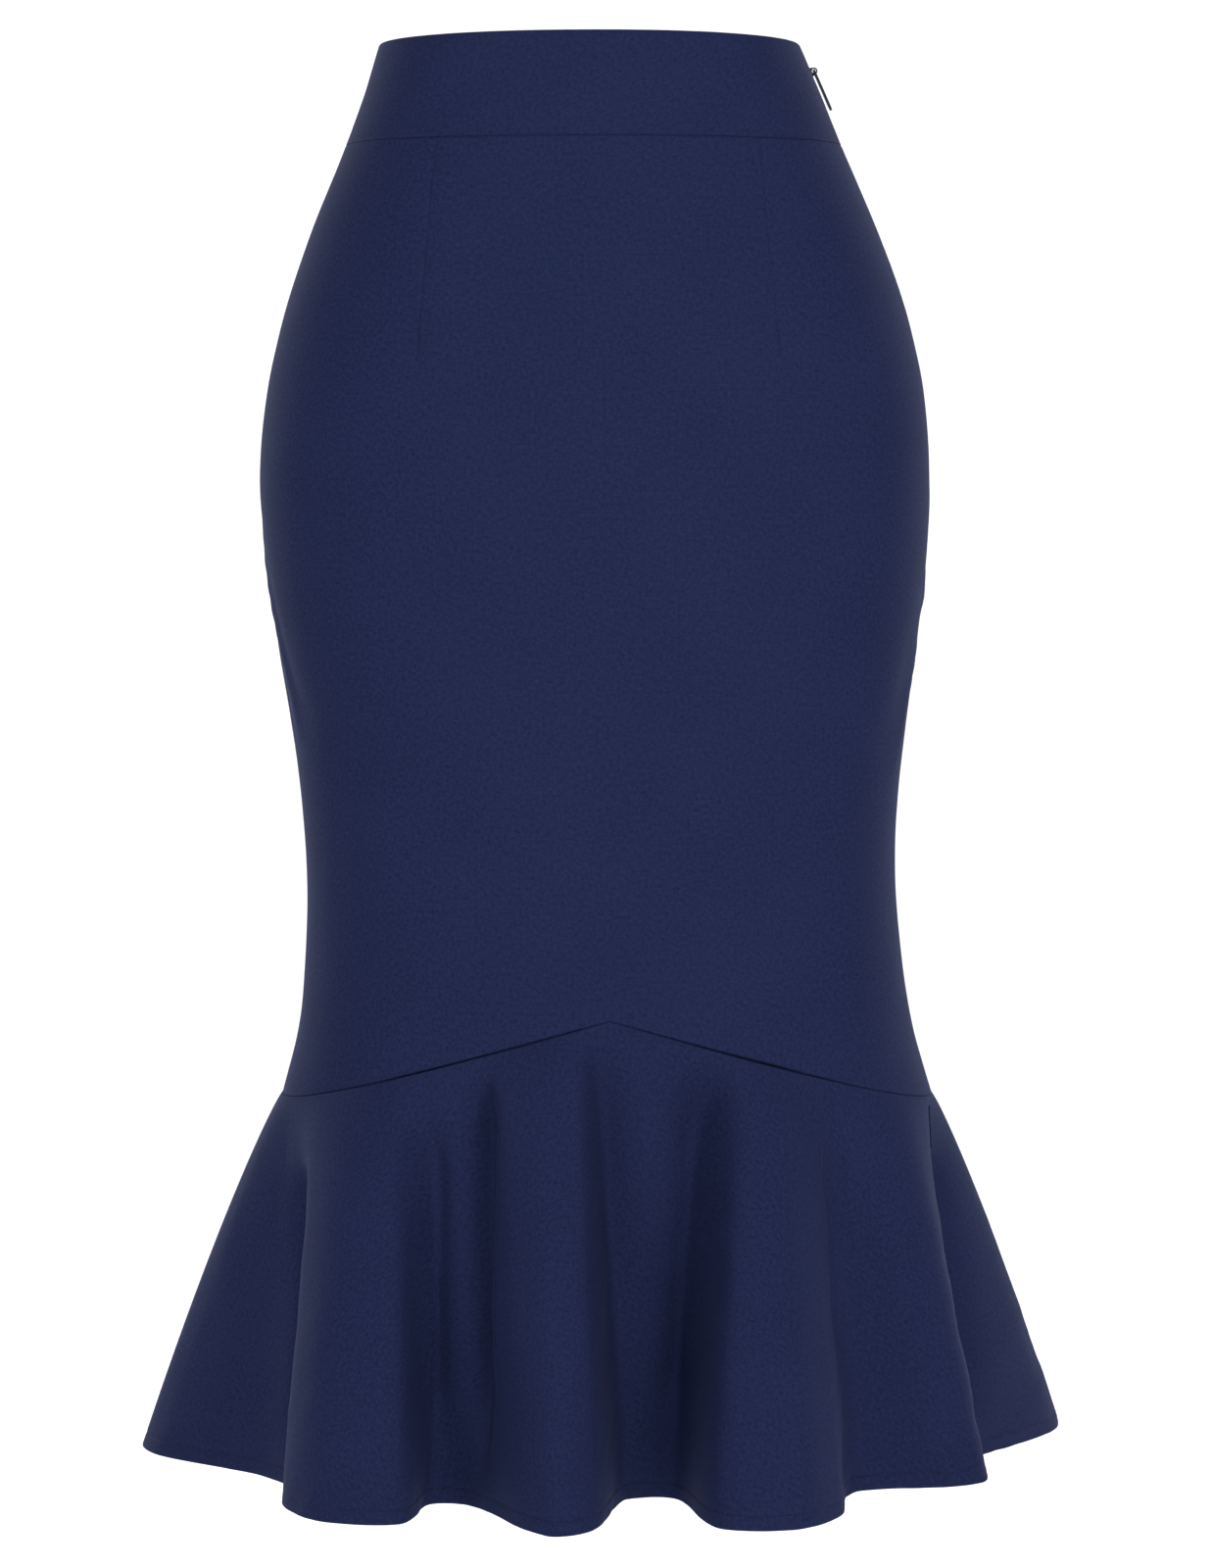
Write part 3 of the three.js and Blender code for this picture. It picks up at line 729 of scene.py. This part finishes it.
def stitch_row(name, line, normals, material, margin=4, pitch=STITCH["pitch"]):
    """A row of stitches that lie on a line of the cloth's face and dip into it at both ends."""
    centres, outward = points_along(line, normals, pitch, margin)
    tangents, outward, sideways = frames_along(centres, outward)
    axes = np.stack([tangents, sideways, outward], 1)
    length = pitch * STITCH["length"] / STITCH["pitch"]
    scale = (length / 2, STITCH["thread"] / 2, STITCH["thread"] / 2)
    return repeated(name, capsule(6, 6, 1.0), centres, axes, scale, material)


def row_at(grid, distance_from_last):
    """The grid's row at a distance above its last row, and the cloth's normals there."""
    normals = grid_normals(grid)
    above = arc_down(grid[::-1])
    row = np.argmin(np.abs(above[:, above.shape[1] // 2] - distance_from_last))
    return grid[::-1][row], normals[::-1][row]


def node(tree, kind, inputs=None, **settings):
    """A new shader node with its settings, and its inputs given as values or as other nodes' outputs."""
    made = tree.nodes.new(kind)
    for setting, value in settings.items():
        setattr(made, setting, value)
    for socket, value in (inputs or {}).items():
        if isinstance(value, bpy.types.NodeSocket):
            tree.links.new(value, made.inputs[socket])
        else:
            made.inputs[socket].default_value = value
    return made


def math_node(tree, operation, *values):
    return node(tree, "ShaderNodeMath", dict(enumerate(values)), operation=operation).outputs[0]


def noise(tree, vector, per_metre, detail=2.0, roughness=0.5):
    inputs = {"Vector": vector, "Scale": per_metre, "Detail": detail, "Roughness": roughness}
    return node(tree, "ShaderNodeTexNoise", inputs).outputs["Fac"]


def stretched(tree, vector, scale):
    return node(tree, "ShaderNodeMapping", {"Vector": vector, "Scale": scale}).outputs[0]


def ramp(tree, value, low, high, to_low, to_high):
    inputs = {"Value": value, "From Min": low, "From Max": high, "To Min": to_low, "To Max": to_high}
    return node(tree, "ShaderNodeMapRange", inputs).outputs[0]


def colour_mix(tree, share, first, second):
    mixed = node(tree, "ShaderNodeMix", {"Factor": share}, data_type="RGBA")
    mixed.inputs[6].default_value = (*first, 1)
    mixed.inputs[7].default_value = (*second, 1)
    return mixed.outputs[2]


def new_material(name):
    material = bpy.data.materials.new(name)
    material.use_nodes = True
    material.node_tree.nodes.clear()
    return material, material.node_tree


def finish_material(tree, colour, roughness, height, bump, **constants):
    """The surface shader. Values in constants are the same all over and sit on the shader's own sockets."""
    normal = node(tree, "ShaderNodeBump", {"Height": height, "Distance": bump, "Strength": 1.0}).outputs[0]
    inputs = {"Base Color": colour, "Roughness": roughness, "Normal": normal}
    inputs.update({socket.replace("_", " "): value for socket, value in constants.items()})
    shader = node(tree, "ShaderNodeBsdfPrincipled", inputs)
    node(tree, "ShaderNodeOutputMaterial", {"Surface": shader.outputs[0]})


def weave_height(tree, flat, pitch):
    """Crossing threads one pitch apart, each crossing a small bump."""
    split = node(tree, "ShaderNodeSeparateXYZ", {"Vector": flat})
    turns = 2 * math.pi / pitch
    warp = math_node(tree, "SINE", math_node(tree, "MULTIPLY", split.outputs["X"], turns))
    weft = math_node(tree, "SINE", math_node(tree, "MULTIPLY", split.outputs["Y"], turns))
    return math_node(tree, "MULTIPLY", warp, weft)


def crepe_material(name, deep, pale):
    """Navy crepe: fine crossing threads, uneven grain along and across, and soft clouds of shade."""
    material, tree = new_material(name)
    flat = node(tree, "ShaderNodeUVMap", uv_map="Cut").outputs[0]
    weave = weave_height(tree, flat, 0.00052)
    along = noise(tree, stretched(tree, flat, (1, 0.35, 1)), 1000)
    across = noise(tree, stretched(tree, flat, (0.35, 1, 1)), 900)
    slubs = noise(tree, flat, 560, 2.0)
    crepe = noise(tree, flat, 620, 3.0, 0.6)
    clouds = noise(tree, flat, 16, 2.0)
    half_along = math_node(tree, "MULTIPLY", along, 0.5)
    half_across = math_node(tree, "MULTIPLY", across, 0.5)
    grain = math_node(tree, "ADD", half_along, half_across)
    fine = math_node(tree, "MULTIPLY_ADD", weave, 0.16, grain)
    uneven = math_node(tree, "MULTIPLY_ADD", slubs, 0.45, math_node(tree, "MULTIPLY", fine, 0.45))
    shade = math_node(tree, "MULTIPLY_ADD", clouds, 0.1, uneven)
    colour = colour_mix(tree, ramp(tree, shade, 0.36, 0.64, 0, 1), deep, pale)
    height = math_node(tree, "MULTIPLY_ADD", crepe, 0.9, math_node(tree, "MULTIPLY_ADD", weave, 0.35, grain))
    roughness = ramp(tree, grain, 0.3, 0.7, 0.78, 0.94)
    finish_material(
        tree, colour, roughness, height, 0.00005,
        Specular_IOR_Level=0.04, Sheen_Weight=0.045, Sheen_Roughness=0.25, Sheen_Tint=(0.55, 0.62, 1.0, 1),
    )
    return material


def thread_material(name, deep, pale):
    material, tree = new_material(name)
    place = node(tree, "ShaderNodeTexCoord").outputs["Object"]
    fibres = noise(tree, place, 2600, 2.0)
    colour = colour_mix(tree, ramp(tree, fibres, 0.3, 0.7, 0, 1), deep, pale)
    roughness = ramp(tree, fibres, 0.3, 0.7, 0.5, 0.7)
    finish_material(tree, colour, roughness, fibres, 0.00006, Specular_IOR_Level=0.1, Sheen_Weight=0.02)
    return material


def tape_material(name, deep, pale):
    """Woven zip tape: close ribs along its length."""
    material, tree = new_material(name)
    flat = node(tree, "ShaderNodeUVMap", uv_map="Cut").outputs[0]
    ribs = weave_height(tree, stretched(tree, flat, (1, 0.6, 1)), 0.0006)
    fuzz = noise(tree, flat, 1500)
    shade = math_node(tree, "MULTIPLY_ADD", ribs, 0.3, fuzz)
    colour = colour_mix(tree, ramp(tree, shade, 0.2, 0.8, 0, 1), deep, pale)
    roughness = ramp(tree, fuzz, 0.3, 0.7, 0.6, 0.8)
    finish_material(tree, colour, roughness, shade, 0.0001, Specular_IOR_Level=0.3)
    return material


def nylon_material(name, deep, pale):
    material, tree = new_material(name)
    place = node(tree, "ShaderNodeTexCoord").outputs["Object"]
    haze = noise(tree, place, 900, 2.0)
    colour = colour_mix(tree, ramp(tree, haze, 0.3, 0.7, 0, 1), deep, pale)
    roughness = ramp(tree, haze, 0.3, 0.7, 0.32, 0.45)
    finish_material(tree, colour, roughness, haze, 0.00003, Specular_IOR_Level=0.5)
    return material


def enamel_material(name, deep, pale):
    """Satin enamel on metal, a little thinner and rougher in places."""
    material, tree = new_material(name)
    place = node(tree, "ShaderNodeTexCoord").outputs["Object"]
    mottle = noise(tree, place, 420, 3.0, 0.6)
    wear = noise(tree, place, 2400, 2.0)
    colour = colour_mix(tree, ramp(tree, mottle, 0.35, 0.65, 0, 1), deep, pale)
    roughness = ramp(tree, wear, 0.3, 0.7, 0.36, 0.5)
    finish_material(tree, colour, roughness, mottle, 0.00003, Specular_IOR_Level=0.3, Coat_Weight=0.08)
    return material


def paper_material(name, shade):
    """The studio's white floor and wall, with a faint tooth."""
    material, tree = new_material(name)
    place = node(tree, "ShaderNodeTexCoord").outputs["Object"]
    tooth = noise(tree, place, 40, 2.0)
    colour = colour_mix(tree, ramp(tree, tooth, 0.3, 0.7, 0, 1), (shade,) * 3, (shade + 0.02,) * 3)
    roughness = ramp(tree, tooth, 0.3, 0.7, 0.85, 0.95)
    finish_material(tree, colour, roughness, tooth, 0.0002, Specular_IOR_Level=0.1)
    return material


# The camera, placed so that the skirt's outline and the curves of its edges match the photograph
CAMERA = {"aside": 3, "distance": 2600, "height": -212.3, "down": 3.655, "lens": 115.5, "long_side": 36}


def make_camera():
    data = bpy.data.cameras.new("camera")
    data.lens = CAMERA["lens"]
    data.sensor_width = CAMERA["long_side"]
    camera = bpy.data.objects.new("camera", data)
    camera.location = (CAMERA["aside"] * MM, -CAMERA["distance"] * MM, CAMERA["height"] * MM)
    camera.rotation_euler = (math.radians(90 - CAMERA["down"]), 0, 0)
    bpy.context.scene.collection.objects.link(camera)
    bpy.context.scene.camera = camera


LIGHTS = table(("name", "place", "target", "width", "height", "watts"), [
    ("low", (0, -2.8, -1.2), (0, 0, -0.35), 2.4, 0.6, 7),
    ("top", (0, -2.6, 2.2), (0, 0, -0.35), 2.4, 1.2, 42),
    ("front_left", (-2.2, -2.25, 0.3), (0, 0, -0.35), 1.0, 1.8, 14),
    ("front_right", (1.85, -2.6, 0.3), (0, 0, -0.35), 1.0, 1.8, 28),
    ("left_rim", (-2.0, 2.1, 0.3), (0, 0, -0.35), 0.7, 1.8, 44),
    ("right_rim", (2.0, 2.1, 0.3), (0, 0, -0.35), 0.7, 1.8, 38),
    ("wall", (0, 1.8, 3.0), (0, 5.0, -0.5), 3.6, 1.0, 152),
])


def make_lights():
    for row in LIGHTS:
        data = bpy.data.lights.new(row["name"], "AREA")
        data.shape = "RECTANGLE"
        data.size, data.size_y = row["width"], row["height"]
        data.energy = row["watts"]
        light = bpy.data.objects.new(row["name"], data)
        light.location = row["place"]
        aim = Vector(row["target"]) - Vector(row["place"])
        light.rotation_euler = aim.to_track_quat("-Z", "Y").to_euler()
        bpy.context.scene.collection.objects.link(light)
    world = bpy.data.worlds.new("studio")
    world.use_nodes = True
    background = world.node_tree.nodes["Background"]
    background.inputs["Color"].default_value = (0.97, 0.98, 1, 1)
    background.inputs["Strength"].default_value = 0.02
    bpy.context.scene.world = world
    bpy.context.scene.view_settings.view_transform = "Standard"


def make_sweep():
    """A white floor that curves up all round into a wall, well below and away from the skirt."""
    floor, wall, bend, top = -1150, 5300, 1400, 4200
    corner = np.radians(np.linspace(0, 90, 13))
    profile = [
        (0.1, floor),
        *zip(wall - bend + bend * np.sin(corner), floor + bend - bend * np.cos(corner)),
        (wall, top),
    ]
    turns = np.radians(np.arange(0, 360, 5))
    points = np.array([(r * math.sin(a), r * math.cos(a), z) for a in turns for r, z in profile])
    count, total = len(profile), len(points)
    faces = [
        (i, (i + count) % total, (i + count + 1) % total, i + 1)
        for start in range(0, total, count) for i in range(start, start + count - 1)
    ]
    sweep = mesh_object("studio_sweep", points, faces, paper_material("studio_paper", 0.86))


def zip_tape(material):
    """The zip's tape, along the inside of the parted seam."""
    z = np.linspace(-TAPE["top"], -ZIP_LENGTH, 90)[:, None]
    across = np.linspace(-TAPE["width"] / 2 + 0.4, TAPE["width"] / 2 - 0.4, 12)[None]
    middle = body_point(90, z)
    grid = body_point(90 + np.degrees(np.arctan2(across, middle[..., 0])), z)
    step = BAND_CLOTH - CLOTH
    grid[..., 0] -= CLOTH + 1.0 + step * smooth_step(-BAND_HEIGHT - 3, -BAND_HEIGHT, z)
    flat = np.stack(np.broadcast_arrays(across, z), -1)
    relief = np.zeros(grid.shape[:2])
    thickness = np.full(grid.shape[:2], TAPE_CLOTH)
    return cloth_shell("zip_tape_woven", grid, relief, thickness, flat, material)


def zip_coil(material):
    """The closed coil: small bars across the middle of the tape."""
    heights = np.arange(-TAPE["top"] - 1, -ZIP_LENGTH + 1, -1.15)
    points = body_point(np.full(len(heights), 90.0), heights)
    step = BAND_CLOTH - CLOTH
    points[:, 0] -= CLOTH + 0.55 + step * smooth_step(-BAND_HEIGHT - 3, -BAND_HEIGHT, heights)
    down = unit(np.gradient(points, axis=0))
    sideways = np.broadcast_to([0.0, 1.0, 0.0], down.shape)
    outward = unit(np.cross(sideways, -down))
    axes = np.stack([sideways, down, outward], 1)
    return repeated("zip_coil", capsule(8, 7, 0.5), points, axes, (2.2, 0.45, 0.42), material)


def finish_cad_node(name, material, bevel):
    """A CAD node that keeps its shape, with its edges rounded."""
    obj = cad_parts[name]
    obj.data.materials.clear()
    obj.data.materials.append(material)
    rounding = obj.modifiers.new("rounded_edges", "BEVEL")
    rounding.width = bevel * MM
    rounding.segments = 3
    rounding.limit_method = "ANGLE"
    rounding.angle_limit = math.radians(35)
    return obj


NAVY_DEEP = (0.0105, 0.0155, 0.05)
NAVY_PALE = (0.02, 0.0275, 0.082)


def build():
    make_camera()
    crepe = crepe_material("navy_crepe", NAVY_DEEP, NAVY_PALE)
    thread = thread_material("navy_thread", (0.006, 0.008, 0.024), (0.014, 0.018, 0.05))
    band_front, band_front_grid = waistband_piece("waistband_front_cloth", -90, crepe)
    band_back, band_back_grid = waistband_piece("waistband_back_cloth", 90, crepe)
    skirt_front, skirt_front_grid = body_panel("skirt_front_cloth", "front", crepe)
    skirt_back, skirt_back_grid = body_panel("skirt_back_cloth", "back", crepe)
    right_knot = KNOTS_PER_FOLD * [fold["name"] for fold in FOLDS].index("right_side") + 1
    left_knot = 1
    flounce_front, flounce_front_grid, front_facts = flounce_piece(
        "flounce_front_cloth", left_knot, right_knot, crepe)
    flounce_back, flounce_back_grid, back_facts = flounce_piece(
        "flounce_back_cloth", right_knot, left_knot + KNOT_COUNT, crepe)
    cloth = {
        "waistband_front": band_front, "waistband_back": band_back,
        "skirt_front": skirt_front, "skirt_back": skirt_back,
        "flounce_front": flounce_front, "flounce_back": flounce_back,
    }
    for name, piece in cloth.items():
        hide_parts(name)
        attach(piece, "skirt")
    stitches = {}
    for name, grid, height, pitch, kind in (
        ("waistband_front", band_front_grid, SEAM_STITCH, SEAM_PITCH, "seam"),
        ("waistband_back", band_back_grid, SEAM_STITCH, SEAM_PITCH, "seam"),
        ("flounce_front", flounce_front_grid, HEM_STITCH, STITCH["pitch"], "hem"),
        ("flounce_back", flounce_back_grid, HEM_STITCH, STITCH["pitch"], "hem"),
    ):
        line, normals = row_at(grid, height)
        sunk = line - normals * STITCH_SINK
        row = stitch_row(f"{name}_{kind}_stitches", sunk, normals, thread, pitch=pitch)
        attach(row, "skirt")
        stitches[name] = row
    woven = tape_material("navy_tape", (0.006, 0.008, 0.022), (0.016, 0.02, 0.05))
    nylon = nylon_material("navy_nylon", (0.008, 0.01, 0.03), (0.014, 0.018, 0.045))
    tape = zip_tape(woven)
    coil = zip_coil(nylon)
    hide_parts("zip_tape")
    for piece in (tape, coil):
        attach(piece, "skirt")
    enamel = enamel_material("navy_enamel", (0.009, 0.012, 0.032), (0.016, 0.02, 0.05))
    finish_cad_node("zip_slider", enamel, 0.3)
    finish_cad_node("zip_pull", enamel, 0.28)
    make_sweep()
    make_lights()
    declare_sheets(stitches, {
        "waistband_front": band_front_grid, "waistband_back": band_back_grid,
        "skirt_front": skirt_front_grid, "skirt_back": skirt_back_grid,
    }, {"flounce_front": front_facts, "flounce_back": back_facts},
        {"flounce_front": flounce_front_grid, "flounce_back": flounce_back_grid})


def declare_sheets(stitches, plain_grids, flounce_facts, flounce_grids):
    """Works out the size and area that each piece of cloth is cut to, allowances included; neither is kept.
    """
    for name, grid in plain_grids.items():
        flat, area = cut_size(grid, BAND_ALLOWANCE if name in stitches else SEAM_ALLOWANCE)
    for name, facts in flounce_facts.items():
        inner = facts["seam"] / facts["sweep"]
        outer = inner + facts["length"]
        half = facts["sweep"] / 2
        width = 2 * (outer if half > math.pi / 2 else outer * math.sin(half))
        length = outer - min(inner, outer) * math.cos(half)
        area = grid_area(flounce_grids[name])
        flat = [(side + 2 * SEAM_ALLOWANCE) * MM for side in (width, length)]
        area = (area + SEAM_ALLOWANCE * (facts["seam"] + facts["hem"] + 2 * facts["length"])) * MM * MM


build()
